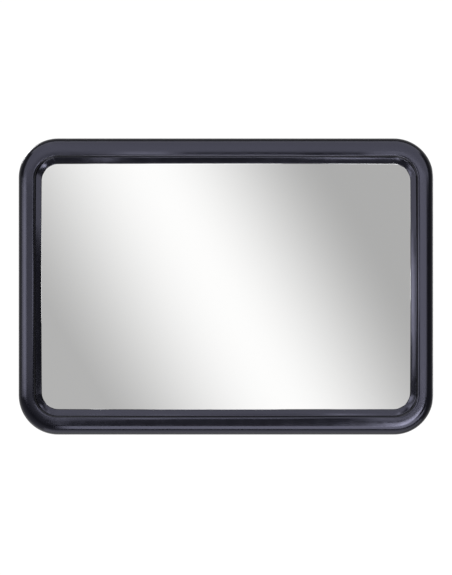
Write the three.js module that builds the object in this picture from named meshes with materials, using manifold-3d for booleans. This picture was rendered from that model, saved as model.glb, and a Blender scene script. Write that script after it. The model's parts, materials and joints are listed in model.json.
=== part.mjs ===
// Rectangular convex security mirror on a pan and tilt wall bracket.
// Millimetres. +Z is up, the wall is the plane y = 0 and the mirror faces -Y.
// The origin is the centre of the wall plate's back face.

import * as THREE from 'three';
import { mergeVertices } from 'three/addons/utils/BufferGeometryUtils.js';
import Module from 'manifold-3d';

const manifoldLibrary = await Module();
manifoldLibrary.setup();

// ---------------------------------------------------------------- driving dimensions

const gap = 0.3; // clearance kept between neighbouring pieces
const screwClearance = 0.4; // round a screw that passes through a hole

// Face of the mirror, seen from the front
const openingHalfWidth = 300;
const openingHalfHeight = 200;
const openingRadius = 27;
const sideRailWidth = 36.5; // frame width at the left and right
const endRailWidth = 40.4; // frame width at the top and bottom
const outerRadius = 64;

// Lens: a shell of 3 mm acrylic, curved about both axes
const lensThickness = 3;
const lensOverlap = 5; // how far the lens reaches under the frame's lip
const rimInset = 0.5; // from the lens's edge to the seal in front and the wall behind it
const lensCrownY = -237;
const lensSag = 16; // drop from the crown to the middle of each side of the opening

// Frame section
const frameCrestY = -235;
const frameRearY = -184;
const rollRadius = 15.5; // outer roll
const faceRadius = 60; // gently crowned face between the roll and the shoulder
const faceAngle = 5; // how far the face turns to each side of the crest, in degrees
const shoulderRadius = 3.6; // tight inner edge of the face
const frameWall = 3;
const sectionWidth = 38; // width that the section's own numbers are drawn for
const tipAboveLens = 3; // tip of the lip, in front of the lens
const lipAngle = 26; // degrees, the lip's fall towards the middle of the opening
const cove = { width: 2, depth: 3 }; // between the inner wall and the lip
const sealThickness = 0.9;

// Back shell
const shellWall = 3;
const flangeRearY = -187;
const panelRearY = -177;
const bossRearY = -168.3;
const bossHalfWidth = 52;
const bossHalfHeight = 46;
const bossRadius = 14;
const bossFlare = 14; // how far the boss's foot spreads beyond its top
const rimStep = 12; // width of the step between the shell's panel and its flange
const rimOverlap = 7.5; // how far that step ends beyond the lens
const ribThickness = 2.5;
const ribHeight = 13;

// Frame screws
const screwInset = 13; // from the frame's outer edge to the screw axis
const screwColumns = [-240, -80, 80, 240]; // along the top and bottom rails
const screwRows = [-105, 105]; // along the side rails
const frameScrew = { radius: 1.7, length: 17, headRadius: 3.6, headHeight: 2.3 };
const screwBossRadius = 4.5;

// Bracket
const panPivotY = -35;
const tiltPivotY = -145;
const eyeRadius = 12;
const eyeHalfLength = 10;
const boltRadius = 4;
const boreRadius = boltRadius + gap;
const boltHead = { radius: 7.5, height: 5.3 };
const frictionWasher = { radius: 11, thickness: 1.5 };
const plainWasher = { radius: 8, thickness: 1.6 };
const earThickness = 4;
const earRadius = 13;
const wallEarRoot = 24; // half width of an ear where it meets the wall plate
const clevisEarRoot = 20; // half width of an ear where it meets the clevis base
const wallPlate = { width: 80, height: 120, thickness: 3, radius: 10 };
const wallHole = { x: 28, z: 48, radius: 3.25 };
const clevisBase = { width: 76, height: 64, thickness: 4, radius: 8 };
const bracketScrew = { x: 26, z: 22, radius: 2.5, headRadius: 4.5, headHeight: 3 };
const stiffener = { width: 92, height: 80, thickness: 2, radius: 10 };
const nut = { radius: 4.6, height: 4 };
const beam = { width: 15, height: 16, bevel: 2, pocketDepth: 4, pocketHeight: 9 };
const knob = { lobes: 6, radius: 16.4, lobeDepth: 1.5, bevel: 1.5, gripHeight: 15 };
const knobHub = { radius: 11.5, height: 6 };
const insert = { radius: 7, length: 12 };

// Facets
const cornerSteps = 6;
const longSideSteps = 8;
const shortSideSteps = 6;
const lensRings = 5;
const roundFacets = 20;
const smallFacets = 12;
const holeFacets = 8;

// ---------------------------------------------------------------- materials

function finish(colour, roughness, metalness) {
  return new THREE.MeshStandardMaterial({ color: colour, roughness, metalness });
}

const finishes = {
  glossPlastic: () => finish(0x14151c, 0.15, 0),
  mattePlastic: () => finish(0x17181b, 0.55, 0),
  mirror: () => finish(0xe8eaec, 0.03, 1),
  rubber: () => finish(0x0c0c0d, 0.85, 0),
  paintedMetal: () => finish(0x1b1c1f, 0.5, 0.3),
  zincSteel: () => finish(0xa9adb2, 0.35, 1),
  nylon: () => finish(0xd9d6cc, 0.6, 0),
  brass: () => finish(0xb08d4a, 0.35, 1),
};

// ---------------------------------------------------------------- solids and booleans

function toSolid(geometry) {
  const bare = geometry.clone();
  bare.deleteAttribute('normal');
  bare.deleteAttribute('uv');
  const merged = mergeVertices(bare, 1e-4);
  const corners = merged.index.array;
  const triangles = [];
  for (let i = 0; i < corners.length; i += 3) {
    const [a, b, c] = [corners[i], corners[i + 1], corners[i + 2]];
    if (a !== b && b !== c && c !== a) triangles.push(a, b, c);
  }
  const mesh = new manifoldLibrary.Mesh({
    numProp: 3,
    vertProperties: new Float32Array(merged.attributes.position.array),
    triVerts: new Uint32Array(triangles),
  });
  return new manifoldLibrary.Manifold(mesh);
}

function toGeometry(solid) {
  const mesh = solid.getMesh();
  const geometry = new THREE.BufferGeometry();
  geometry.setAttribute('position', new THREE.BufferAttribute(mesh.vertProperties, 3));
  geometry.setIndex(new THREE.BufferAttribute(mesh.triVerts, 1));
  geometry.computeVertexNormals();
  return geometry;
}

function join(...geometries) {
  return toGeometry(geometries.map(toSolid).reduce((whole, piece) => whole.add(piece)));
}

function cut(geometry, ...tools) {
  const hollow = tools.map(toSolid).reduce((whole, tool) => whole.subtract(tool), toSolid(geometry));
  return toGeometry(hollow);
}

// A closed surface from points and triangles, turned so that its faces point outwards
function closedSurface(points, triangles) {
  let volume = 0;
  for (const [a, b, c] of triangles) {
    volume += points[a].dot(new THREE.Vector3().crossVectors(points[b], points[c]));
  }
  const outward = volume > 0 ? triangles : triangles.map(([a, b, c]) => [a, c, b]);
  const geometry = new THREE.BufferGeometry().setFromPoints(points);
  geometry.setIndex(outward.flat());
  geometry.computeVertexNormals();
  return geometry;
}

// Two triangles between neighbouring points of two rows
function quad(a, b, c, d) {
  return [[a, b, c], [a, c, d]];
}

// A closed tube of sections round a closed loop
function loopLoft(sections) {
  const sides = sections[0].length;
  const triangles = [];
  sections.forEach((_, i) => {
    const here = i * sides;
    const next = ((i + 1) % sections.length) * sides;
    for (let j = 0; j < sides; j++) {
      const k = (j + 1) % sides;
      triangles.push(...quad(here + j, here + k, next + k, next + j));
    }
  });
  return closedSurface(sections.flat(), triangles);
}

// A closed sheet with a front and a rear surface over nested outlines, innermost first.
// frontY and rearY give each surface's depth at a point of a given outline.
function sheet(outlines, frontY, rearY) {
  const count = outlines[0].length;
  const points = [];
  const triangles = [];
  for (const depth of [frontY, rearY]) {
    const centre = points.length;
    points.push(new THREE.Vector3(0, depth(new THREE.Vector2(0, 0), 0), 0));
    outlines.forEach((outline, ring) => {
      outline.forEach((p) => points.push(new THREE.Vector3(p.x, depth(p, ring), p.y)));
    });
    const turned = depth === rearY;
    for (let i = 0; i < count; i++) {
      const j = (i + 1) % count;
      const faces = [[centre, centre + 1 + i, centre + 1 + j]];
      for (let ring = 0; ring + 1 < outlines.length; ring++) {
        const low = centre + 1 + ring * count;
        faces.push(...quad(low + i, low + count + i, low + count + j, low + j));
      }
      triangles.push(...faces.map(([a, b, c]) => (turned ? [a, c, b] : [a, b, c])));
    }
  }
  const surfacePoints = 1 + outlines.length * count;
  const frontRim = surfacePoints - count;
  for (let i = 0; i < count; i++) {
    const j = (i + 1) % count;
    const rearRim = frontRim + surfacePoints;
    triangles.push(...quad(frontRim + i, rearRim + i, rearRim + j, frontRim + j));
  }
  return closedSurface(points, triangles);
}

// ---------------------------------------------------------------- outlines in the XZ plane

// Points of a rounded rectangle, as many for any size, so that two outlines pair up
function roundedRectangle(halfWidth, halfHeight, radius) {
  const signs = [[1, 1], [-1, 1], [-1, -1], [1, -1]];
  const corners = signs.map(([signX, signZ], corner) => {
    const centre = new THREE.Vector2(signX * (halfWidth - radius), signZ * (halfHeight - radius));
    return Array.from({ length: cornerSteps + 1 }, (_, step) => {
      const angle = (corner + step / cornerSteps) * (Math.PI / 2);
      return new THREE.Vector2(Math.cos(angle), Math.sin(angle)).multiplyScalar(radius).add(centre);
    });
  });
  const points = [];
  corners.forEach((arc, corner) => {
    const steps = corner % 2 === 0 ? longSideSteps : shortSideSteps;
    const next = corners[(corner + 1) % corners.length][0];
    points.push(...arc);
    for (let step = 1; step < steps; step++) {
      points.push(arc[cornerSteps].clone().lerp(next, step / steps));
    }
  });
  return points;
}

// The same outline grown outwards, or shrunk by a negative amount
function grownRectangle(halfWidth, halfHeight, radius, growth) {
  return roundedRectangle(halfWidth + growth, halfHeight + growth, radius + growth);
}

function lensOutline(growth) {
  return grownRectangle(openingHalfWidth, openingHalfHeight, openingRadius, lensOverlap + growth);
}

const outerHalfWidth = openingHalfWidth + sideRailWidth;
const outerHalfHeight = openingHalfHeight + endRailWidth;

function lensFrontY(x, z) {
  const across = (x / openingHalfWidth) ** 2;
  const up = (z / openingHalfHeight) ** 2;
  return lensCrownY + lensSag * (across + up);
}

// ---------------------------------------------------------------- simple shapes

// A cylinder about Y, Z or X between two stations along its axis
function rod(axis, radius, from, to, facets = roundFacets) {
  const geometry = new THREE.CylinderGeometry(radius, radius, to - from, facets);
  geometry.translate(0, (from + to) / 2, 0);
  if (axis === 'z') geometry.rotateX(Math.PI / 2);
  if (axis === 'x') geometry.rotateZ(-Math.PI / 2);
  return geometry;
}

// A ring about Z between two heights
function ring(innerRadius, rimRadius, from, to, facets = roundFacets) {
  const profile = [
    new THREE.Vector2(innerRadius, from),
    new THREE.Vector2(rimRadius, from),
    new THREE.Vector2(rimRadius, to),
    new THREE.Vector2(innerRadius, to),
    new THREE.Vector2(innerRadius, from),
  ];
  return new THREE.LatheGeometry(profile, facets).rotateX(Math.PI / 2);
}

function roundedPlateShape(width, height, radius) {
  const [x, y] = [width / 2, height / 2];
  const shape = new THREE.Shape();
  shape.absarc(x - radius, y - radius, radius, 0, Math.PI / 2);
  shape.absarc(radius - x, y - radius, radius, Math.PI / 2, Math.PI);
  shape.absarc(radius - x, radius - y, radius, Math.PI, 1.5 * Math.PI);
  shape.absarc(x - radius, radius - y, radius, 1.5 * Math.PI, 2 * Math.PI);
  return shape;
}

function addFourHoles(shape, x, y, radius) {
  for (const signX of [-1, 1]) {
    for (const signY of [-1, 1]) {
      shape.holes.push(new THREE.Path().absarc(signX * x, signY * y, radius, 0, 2 * Math.PI, true));
    }
  }
}

// A flat plate that stands in the XZ plane, from rearY forwards
function uprightPlate(plate, rearY, hole) {
  const shape = roundedPlateShape(plate.width, plate.height, plate.radius);
  if (hole) addFourHoles(shape, hole.x, hole.z, hole.radius);
  const options = { depth: plate.thickness, bevelEnabled: false, curveSegments: 4 };
  const geometry = new THREE.ExtrudeGeometry(shape, options);
  return geometry.rotateX(Math.PI / 2).translate(0, rearY, 0);
}

// A bracket ear in the XY plane: an eye round the origin and a root at x = reach
function earBlank(reach, rootHalfWidth) {
  const rootAngle = Math.atan2(rootHalfWidth, reach);
  const tangent = rootAngle + Math.acos(earRadius / Math.hypot(reach, rootHalfWidth));
  const shape = new THREE.Shape();
  shape.moveTo(reach, -rootHalfWidth);
  shape.lineTo(reach, rootHalfWidth);
  shape.absarc(0, 0, earRadius, tangent, 2 * Math.PI - tangent);
  shape.holes.push(new THREE.Path().absarc(0, 0, boreRadius, 0, 2 * Math.PI, true));
  const options = { depth: earThickness, bevelEnabled: false, curveSegments: 8 };
  return new THREE.ExtrudeGeometry(shape, options);
}

const earInnerFace = eyeHalfLength + gap + frictionWasher.thickness + gap;
const earOuterFace = earInnerFace + earThickness;

// ---------------------------------------------------------------- lens, frame and seal

function lensGeometry() {
  const rim = lensOutline(0);
  const outlines = Array.from({ length: lensRings }, (_, ringIndex) => {
    return rim.map((p) => p.clone().multiplyScalar((ringIndex + 1) / lensRings));
  });
  const frontY = (p) => lensFrontY(p.x, p.y);
  const rearY = (p) => lensFrontY(p.x, p.y) + lensThickness;
  return sheet(outlines, frontY, rearY);
}

// An arc of the frame section, from startAngle to endAngle, in degrees
function sectionArc(centre, radius, startAngle, endAngle, steps) {
  return Array.from({ length: steps + 1 }, (_, step) => {
    const angle = THREE.MathUtils.degToRad(startAngle + ((endAngle - startAngle) * step) / steps);
    const across = centre[0] + radius * Math.cos(angle);
    return { across, y: () => centre[1] + radius * Math.sin(angle) };
  });
}

// The frame's section as points { across, y }: across runs inwards from the outer edge, and
// y may follow the lens front, whose depth at the point is handed in
function frameSection() {
  const tilt = THREE.MathUtils.degToRad(faceAngle);
  const faceRise = faceRadius * (1 - Math.cos(tilt));
  const faceHalfWidth = faceRadius * Math.sin(tilt);
  const crestAcross = rollRadius * (1 - Math.sin(tilt)) + faceHalfWidth;
  const rollCentre = [rollRadius, frameCrestY + faceRise + rollRadius * Math.cos(tilt)];
  const faceCentre = [crestAcross, frameCrestY + faceRadius];
  const shoulderCentre = [
    crestAcross + faceHalfWidth - shoulderRadius * Math.sin(tilt),
    frameCrestY + faceRise + shoulderRadius * Math.cos(tilt),
  ];
  const innerRoll = rollRadius - frameWall;
  const [shoulderAcross, wallTop] = shoulderCentre;
  const shoulderEnd = shoulderAcross + shoulderRadius;
  const lipStart = shoulderEnd + cove.width;
  const lipFall = (sectionWidth - lipStart) * Math.tan(THREE.MathUtils.degToRad(lipAngle));
  const tip = (lensY) => lensY - tipAboveLens;
  const lipRear = (lensY) => lensY - sealThickness - 2 * gap;
  return [
    { across: 0, y: () => frameRearY },
    ...sectionArc(rollCentre, rollRadius, 180, 270 - faceAngle, 5),
    ...sectionArc(faceCentre, faceRadius, 270, 270 + faceAngle, 1),
    ...sectionArc(shoulderCentre, shoulderRadius, 315, 360, 1),
    { across: shoulderEnd, y: (lensY) => tip(lensY) - lipFall - cove.depth },
    { across: shoulderEnd + cove.width * 0.4, y: (lensY) => tip(lensY) - lipFall - cove.depth * 0.3 },
    { across: lipStart, y: (lensY) => tip(lensY) - lipFall },
    { across: sectionWidth, y: tip },
    { across: sectionWidth, y: lipRear },
    { across: shoulderEnd + 2, y: lipRear },
    { across: shoulderEnd - frameWall, y: () => wallTop + 1 },
    { across: shoulderAcross - 1, y: () => frameCrestY + faceRise + frameWall },
    ...sectionArc(rollCentre, innerRoll, 270, 180, 4),
    { across: frameWall, y: () => frameRearY },
  ];
}

function screwPlaces() {
  const railZ = outerHalfHeight - screwInset;
  const railX = outerHalfWidth - screwInset;
  const places = [];
  for (const z of [railZ, -railZ]) {
    screwColumns.forEach((x) => places.push([x, z]));
  }
  for (const x of [-railX, railX]) {
    screwRows.forEach((z) => places.push([x, z]));
  }
  return places;
}

const flangeFrontY = flangeRearY - shellWall;

function frameGeometry() {
  const outer = roundedRectangle(outerHalfWidth, outerHalfHeight, outerRadius);
  const inner = roundedRectangle(openingHalfWidth, openingHalfHeight, openingRadius);
  const section = frameSection();
  const sections = outer.map((start, i) => {
    return section.map((point) => {
      const place = start.clone().lerp(inner[i], point.across / sectionWidth);
      return new THREE.Vector3(place.x, point.y(lensFrontY(place.x, place.y)), place.y);
    });
  });
  const postFrontY = frameCrestY + frameWall - 0.5;
  const postRearY = flangeFrontY - gap;
  const pilotFrontY = flangeRearY - frameScrew.length - 3;
  const pilotRadius = frameScrew.radius + gap;
  const posts = [];
  const pilots = [];
  for (const [x, z] of screwPlaces()) {
    posts.push(rod('y', screwBossRadius, postFrontY, postRearY, smallFacets).translate(x, 0, z));
    pilots.push(rod('y', pilotRadius, pilotFrontY, flangeRearY, holeFacets).translate(x, 0, z));
  }
  return cut(join(loopLoft(sections), ...posts), ...pilots);
}

function sealGeometry() {
  const outer = lensOutline(-rimInset);
  const inner = lensOutline(1 - lensOverlap);
  const sections = outer.map((start, i) => {
    return [[start, 0], [inner[i], 0], [inner[i], 1], [start, 1]].map(([p, front]) => {
      const y = lensFrontY(p.x, p.y) - gap - front * sealThickness;
      return new THREE.Vector3(p.x, y, p.y);
    });
  });
  return loopLoft(sections);
}

// ---------------------------------------------------------------- back shell

// The ring of the shell that carries the lens's rim from behind
function supportWall() {
  const outer = lensOutline(-rimInset);
  const inner = lensOutline(-rimInset - shellWall);
  const footY = panelRearY - shellWall;
  const sections = outer.map((start, i) => {
    return [[start, false], [inner[i], false], [inner[i], true], [start, true]].map(([p, top]) => {
      const y = top ? lensFrontY(p.x, p.y) + lensThickness + gap : footY;
      return new THREE.Vector3(p.x, y, p.y);
    });
  });
  return loopLoft(sections);
}

function ribs() {
  const frontY = panelRearY - shellWall - ribHeight;
  const depth = ribHeight + shellWall / 2;
  const lensHalfWidth = openingHalfWidth + lensOverlap;
  const lensHalfHeight = openingHalfHeight + lensOverlap;
  const insetFromWall = 2;
  const runs = [
    { from: bossHalfWidth + bossFlare / 2, to: lensHalfWidth - insetFromWall, alongX: true },
    { from: bossHalfHeight + bossFlare / 2, to: lensHalfHeight - insetFromWall, alongX: false },
  ];
  const pieces = [];
  for (const { from, to, alongX } of runs) {
    for (const side of [-1, 1]) {
      const length = to - from;
      const middle = (side * (from + to)) / 2;
      const box = new THREE.BoxGeometry(
        alongX ? length : ribThickness,
        depth,
        alongX ? ribThickness : length,
      );
      pieces.push(box.translate(alongX ? middle : 0, frontY + depth / 2, alongX ? 0 : middle));
    }
  }
  return pieces;
}

function shellGeometry() {
  const recess = frameWall + screwClearance;
  const flangeRim = grownRectangle(outerHalfWidth, outerHalfHeight, outerRadius, -recess);
  const boss = (share) => {
    return grownRectangle(bossHalfWidth, bossHalfHeight, bossRadius, share * bossFlare);
  };
  const step = (share) => lensOutline(rimOverlap - (1 - share) * rimStep);
  const bossDrop = (share) => bossRearY + share * (panelRearY - bossRearY);
  const stepDrop = (share) => panelRearY + share * (flangeRearY - panelRearY);
  const rings = [
    [boss(0), bossRearY],
    [boss(0.25), bossDrop(0.15)],
    [boss(0.75), bossDrop(0.85)],
    [boss(1), panelRearY],
    [step(0), panelRearY],
    [step(0.25), stepDrop(0.15)],
    [step(0.75), stepDrop(0.85)],
    [step(1), flangeRearY],
    [flangeRim, flangeRearY],
  ];
  const rearY = (_, ringIndex) => rings[ringIndex][1];
  const frontY = (_, ringIndex) => rings[ringIndex][1] - shellWall;
  const skin = sheet(rings.map(([outline]) => outline), frontY, rearY);
  const frameHole = frameScrew.radius + screwClearance;
  const bracketHole = bracketScrew.radius + screwClearance;
  const holes = screwPlaces().map(([x, z]) => {
    const hole = rod('y', frameHole, flangeFrontY - 1, flangeRearY + 1, holeFacets);
    return hole.translate(x, 0, z);
  });
  for (const [x, z] of bracketScrewPlaces()) {
    const hole = rod('y', bracketHole, bossRearY - 2 * shellWall, bossRearY + 1, smallFacets);
    holes.push(hole.translate(x, 0, z));
  }
  return cut(join(skin, supportWall(), ...ribs()), ...holes);
}

// ---------------------------------------------------------------- fasteners

function bracketScrewPlaces() {
  const { x, z } = bracketScrew;
  return [[-x, -z], [-x, z], [x, -z], [x, z]];
}

// A pan head screw along -Y whose head rests on the plane y = 0
function panHeadScrew(shankRadius, length, headRadius, headHeight, facets) {
  const profile = [
    new THREE.Vector2(0, -length),
    new THREE.Vector2(shankRadius, -length),
    new THREE.Vector2(shankRadius, 0),
    new THREE.Vector2(headRadius, 0),
    new THREE.Vector2(headRadius, headHeight * 0.55),
    new THREE.Vector2(headRadius * 0.7, headHeight),
    new THREE.Vector2(0, headHeight),
  ];
  return new THREE.LatheGeometry(profile, facets);
}

function hexNut() {
  const blank = rod('y', nut.radius, -nut.height, 0, 6);
  return cut(blank, rod('y', bracketScrew.radius + gap, -nut.height - 1, 1, smallFacets));
}

// ---------------------------------------------------------------- bracket pieces

function wallPlateGeometry() {
  const plate = uprightPlate(wallPlate, 0, wallHole);
  const reach = -panPivotY - wallPlate.thickness / 2;
  const ears = [earInnerFace, -earOuterFace].map((z) => {
    return earBlank(reach, wallEarRoot).rotateZ(Math.PI / 2).translate(0, panPivotY, z);
  });
  return join(plate, ...ears);
}

const clevisRearY = bossRearY + gap + clevisBase.thickness;
const bracketHoles = { ...bracketScrew, radius: bracketScrew.radius + screwClearance };

function clevisGeometry() {
  const base = uprightPlate(clevisBase, clevisRearY, bracketHoles);
  const reach = tiltPivotY - clevisRearY + clevisBase.thickness / 2;
  const ears = [earInnerFace, -earOuterFace].map((x) => {
    const ear = earBlank(reach, clevisEarRoot).rotateZ(-Math.PI / 2);
    return ear.rotateY(Math.PI / 2).translate(x, tiltPivotY, 0);
  });
  return join(base, ...ears);
}

// A cast arm: an upright eye at the wall, a level eye at the mirror, and a pocketed beam
function armGeometry() {
  const upright = rod('z', eyeRadius, -eyeHalfLength, eyeHalfLength).translate(0, panPivotY, 0);
  const level = rod('x', eyeRadius, -eyeHalfLength, eyeHalfLength).translate(0, tiltPivotY, 0);
  const length = panPivotY - tiltPivotY - eyeRadius;
  const middleY = (panPivotY + tiltPivotY) / 2;
  const cornerRadius = 3;
  const outline = roundedPlateShape(beam.width - 2 * beam.bevel, length, cornerRadius);
  const body = new THREE.ExtrudeGeometry(outline, {
    depth: beam.height - 2 * beam.bevel,
    bevelEnabled: true,
    bevelThickness: beam.bevel,
    bevelSize: beam.bevel,
    bevelSegments: 2,
    curveSegments: 2,
  });
  body.translate(0, middleY, beam.bevel - beam.height / 2);
  const pocketLength = length - 2 * eyeRadius - 8;
  const pockets = [-1, 1].map((side) => {
    const mouth = roundedPlateShape(beam.pocketHeight, pocketLength, cornerRadius);
    const options = { depth: beam.width / 2, bevelEnabled: false, curveSegments: 3 };
    const pocket = new THREE.ExtrudeGeometry(mouth, options);
    const inner = beam.width / 2 - beam.pocketDepth;
    return pocket.rotateY((side * Math.PI) / 2).translate(side * inner, middleY, 0);
  });
  const bores = [
    rod('z', boreRadius, -eyeHalfLength - 1, eyeHalfLength + 1).translate(0, panPivotY, 0),
    rod('x', boreRadius, -eyeHalfLength - 1, eyeHalfLength + 1).translate(0, tiltPivotY, 0),
  ];
  return cut(join(body, upright, level), ...pockets, ...bores);
}

// ---------------------------------------------------------------- pivot hardware, about local Z

const washerFace = earOuterFace + gap;
const knobBase = washerFace + plainWasher.thickness + gap;

function boltGeometry() {
  const head = rod('z', boltHead.radius, -washerFace - boltHead.height, -washerFace, 6);
  const shankEnd = knobBase + insert.length - 1;
  const shank = rod('z', boltRadius, -washerFace - boltHead.height / 2, shankEnd);
  return join(head, shank);
}

function knobGeometry() {
  const points = Array.from({ length: knob.lobes * 6 }, (_, i) => {
    const angle = (i / (knob.lobes * 6)) * 2 * Math.PI;
    const radius = knob.radius - knob.bevel + knob.lobeDepth * Math.cos(knob.lobes * angle);
    return new THREE.Vector2(radius * Math.cos(angle), radius * Math.sin(angle));
  });
  const grip = new THREE.ExtrudeGeometry(new THREE.Shape(points), {
    depth: knob.gripHeight - 2 * knob.bevel,
    bevelEnabled: true,
    bevelThickness: knob.bevel,
    bevelSize: knob.bevel,
    bevelSegments: 2,
  });
  grip.translate(0, 0, knobBase + knobHub.height + knob.bevel);
  const hub = rod('z', knobHub.radius, knobBase, knobBase + knobHub.height + 2 * knob.bevel);
  const socketEnd = knobBase + insert.length + gap;
  return cut(join(grip, hub), rod('z', insert.radius + gap, knobBase - 1, socketEnd));
}

// ---------------------------------------------------------------- assembly

function piece(name, geometry, material, place = [0, 0, 0]) {
  const mesh = new THREE.Mesh(geometry, material);
  mesh.name = name;
  mesh.position.set(...place);
  return mesh;
}

function pivotHardware(prefix, sides) {
  const hardware = new THREE.Group();
  const frictionFace = eyeHalfLength + gap;
  const faces = [-frictionFace - frictionWasher.thickness, frictionFace];
  hardware.add(piece(`${prefix}_bolt`, boltGeometry(), finishes.zincSteel()));
  sides.forEach((side, i) => {
    const { radius, thickness } = frictionWasher;
    const washer = ring(boreRadius, radius, faces[i], faces[i] + thickness);
    hardware.add(piece(`${prefix}_friction_washer_${side}`, washer, finishes.nylon()));
  });
  const { radius, thickness } = plainWasher;
  const washer = ring(boreRadius, radius, washerFace, washerFace + thickness);
  hardware.add(piece(`${prefix}_washer`, washer, finishes.zincSteel()));
  const bush = ring(boreRadius, insert.radius, knobBase, knobBase + insert.length, smallFacets);
  hardware.add(piece(`${prefix}_knob_insert`, bush, finishes.brass()));
  hardware.add(piece(`${prefix}_knob`, knobGeometry(), finishes.mattePlastic()));
  return hardware;
}

function mirrorHead() {
  const head = new THREE.Group();
  head.add(piece('mirror_lens', lensGeometry(), finishes.mirror()));
  head.add(piece('front_frame', frameGeometry(), finishes.glossPlastic()));
  head.add(piece('lens_seal', sealGeometry(), finishes.rubber()));
  head.add(piece('back_shell', shellGeometry(), finishes.mattePlastic()));

  const plateRearY = bossRearY - shellWall - gap;
  const plate = uprightPlate(stiffener, plateRearY, bracketHoles);
  head.add(piece('stiffener_plate', plate, finishes.zincSteel()));
  head.add(piece('mirror_clevis', clevisGeometry(), finishes.paintedMetal()));

  const nutRearY = plateRearY - stiffener.thickness - gap;
  const headSeatY = clevisRearY + gap;
  const screwReach = headSeatY - nutRearY + nut.height + 1.5;
  bracketScrewPlaces().forEach(([x, z], i) => {
    const { radius, headRadius, headHeight } = bracketScrew;
    const screw = panHeadScrew(radius, screwReach, headRadius, headHeight, smallFacets);
    head.add(piece(`bracket_screw_${i + 1}`, screw, finishes.zincSteel(), [x, headSeatY, z]));
    head.add(piece(`bracket_nut_${i + 1}`, hexNut(), finishes.zincSteel(), [x, nutRearY, z]));
  });

  screwPlaces().forEach(([x, z], i) => {
    const number = String(i + 1).padStart(2, '0');
    const { radius, length, headRadius, headHeight } = frameScrew;
    const screw = panHeadScrew(radius, length, headRadius, headHeight, smallFacets);
    const seat = [x, flangeRearY + gap, z];
    head.add(piece(`frame_screw_${number}`, screw, finishes.zincSteel(), seat));
  });
  return head;
}

function wallBracket() {
  const bracket = new THREE.Group();
  bracket.add(piece('wall_plate', wallPlateGeometry(), finishes.paintedMetal()));
  bracket.add(piece('swivel_arm', armGeometry(), finishes.paintedMetal()));

  const panHardware = pivotHardware('pan', ['lower', 'upper']);
  panHardware.position.set(0, panPivotY, 0);
  bracket.add(panHardware);

  const tiltHardware = pivotHardware('tilt', ['left', 'right']);
  tiltHardware.position.set(0, tiltPivotY, 0);
  tiltHardware.rotation.y = Math.PI / 2;
  bracket.add(tiltHardware);
  return bracket;
}

const mirror = new THREE.Group();
mirror.add(wallBracket(), mirrorHead());

export default mirror;
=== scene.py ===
"""Looks of a rectangular convex security mirror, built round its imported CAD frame.

Everything is in metres in the row frame: +Z is up, the wall is y = 0, the mirror faces -Y.
"""

import json
import math
from functools import cache, partial

import bmesh
import bpy
from mathutils import Matrix, Vector

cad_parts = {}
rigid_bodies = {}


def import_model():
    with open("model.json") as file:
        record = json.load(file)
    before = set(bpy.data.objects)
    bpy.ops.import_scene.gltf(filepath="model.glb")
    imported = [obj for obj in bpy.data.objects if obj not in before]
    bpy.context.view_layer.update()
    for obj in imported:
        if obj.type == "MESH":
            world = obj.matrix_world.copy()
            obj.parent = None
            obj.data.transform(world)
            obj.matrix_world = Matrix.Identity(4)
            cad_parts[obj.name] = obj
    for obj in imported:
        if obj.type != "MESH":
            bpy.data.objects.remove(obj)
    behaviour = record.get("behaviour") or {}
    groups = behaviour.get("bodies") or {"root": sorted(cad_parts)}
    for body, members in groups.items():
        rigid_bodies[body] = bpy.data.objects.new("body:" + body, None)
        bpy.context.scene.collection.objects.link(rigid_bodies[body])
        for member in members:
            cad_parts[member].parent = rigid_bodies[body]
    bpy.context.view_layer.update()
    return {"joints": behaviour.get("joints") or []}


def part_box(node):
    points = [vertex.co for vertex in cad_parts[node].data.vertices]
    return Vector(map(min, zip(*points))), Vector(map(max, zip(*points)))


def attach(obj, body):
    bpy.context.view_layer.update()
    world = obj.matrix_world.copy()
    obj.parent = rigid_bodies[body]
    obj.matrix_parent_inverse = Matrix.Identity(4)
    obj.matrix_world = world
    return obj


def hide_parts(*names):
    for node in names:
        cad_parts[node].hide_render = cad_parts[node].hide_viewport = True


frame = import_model()

# ------------------------------ sizes from the frame

FRAME_LOW, FRAME_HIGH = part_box("front_frame")
LENS_LOW, LENS_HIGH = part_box("mirror_lens")
BOSS_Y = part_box("back_shell")[1].y

LENS_OVERLAP = 0.005
LENS_SAG = 0.016
LENS_THICKNESS = 0.003
OPENING_WIDE = LENS_HIGH.x - LENS_OVERLAP
OPENING_HIGH = LENS_HIGH.z - LENS_OVERLAP
OPENING_RADIUS = 0.027
OUTER_RADIUS = 0.064
GAP = 0.0003

SECTION_WIDTH = 0.038
FRAME_WALL = 0.003
ROLL_RADIUS = 0.0155
FACE_RADIUS = 0.060
FACE_TILT = 5
SHOULDER_RADIUS = 0.0036
COVE_RADIUS = 0.0034
SLOPE = 26  # degrees that the inner slope leans towards the mirror's middle
TIP_ABOVE_LENS, TIP_BEVEL = 0.0024, 0.0004
LIP_ABOVE_LENS = 0.0015
REAR_BEVEL = (0.0015, 0.001)
SEAL_THICKNESS, SEAL_INSET, SEAL_BULGE = 0.0009, 0.001, 0.0003

SHELL_WALL = 0.003
SHELL_RECESS = 0.0034
FLANGE_Y = -0.187
PANEL_Y = -0.177
BOSS_WIDE, BOSS_HIGH, BOSS_RADIUS = 0.052, 0.046, 0.014
BOSS_FLARE, BOSS_FLAT = 0.014, 0.008  # the spread of its foot, and the width of its flat rim
STEP_OVERLAP, STEP_WIDTH = 0.0075, 0.012
RIM_EDGE = 0.0006
BEAD_WIDE, BEAD_HIGH, BEAD_RADIUS = 0.185, 0.125, 0.040
BEAD_HALF_WIDTH, BEAD_RISE = 0.006, 0.0014
RIM_INSET = 0.0005
RIB_THICKNESS, RIB_HEIGHT = 0.0025, 0.013
SCREW_CLEARANCE = 0.0004

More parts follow.
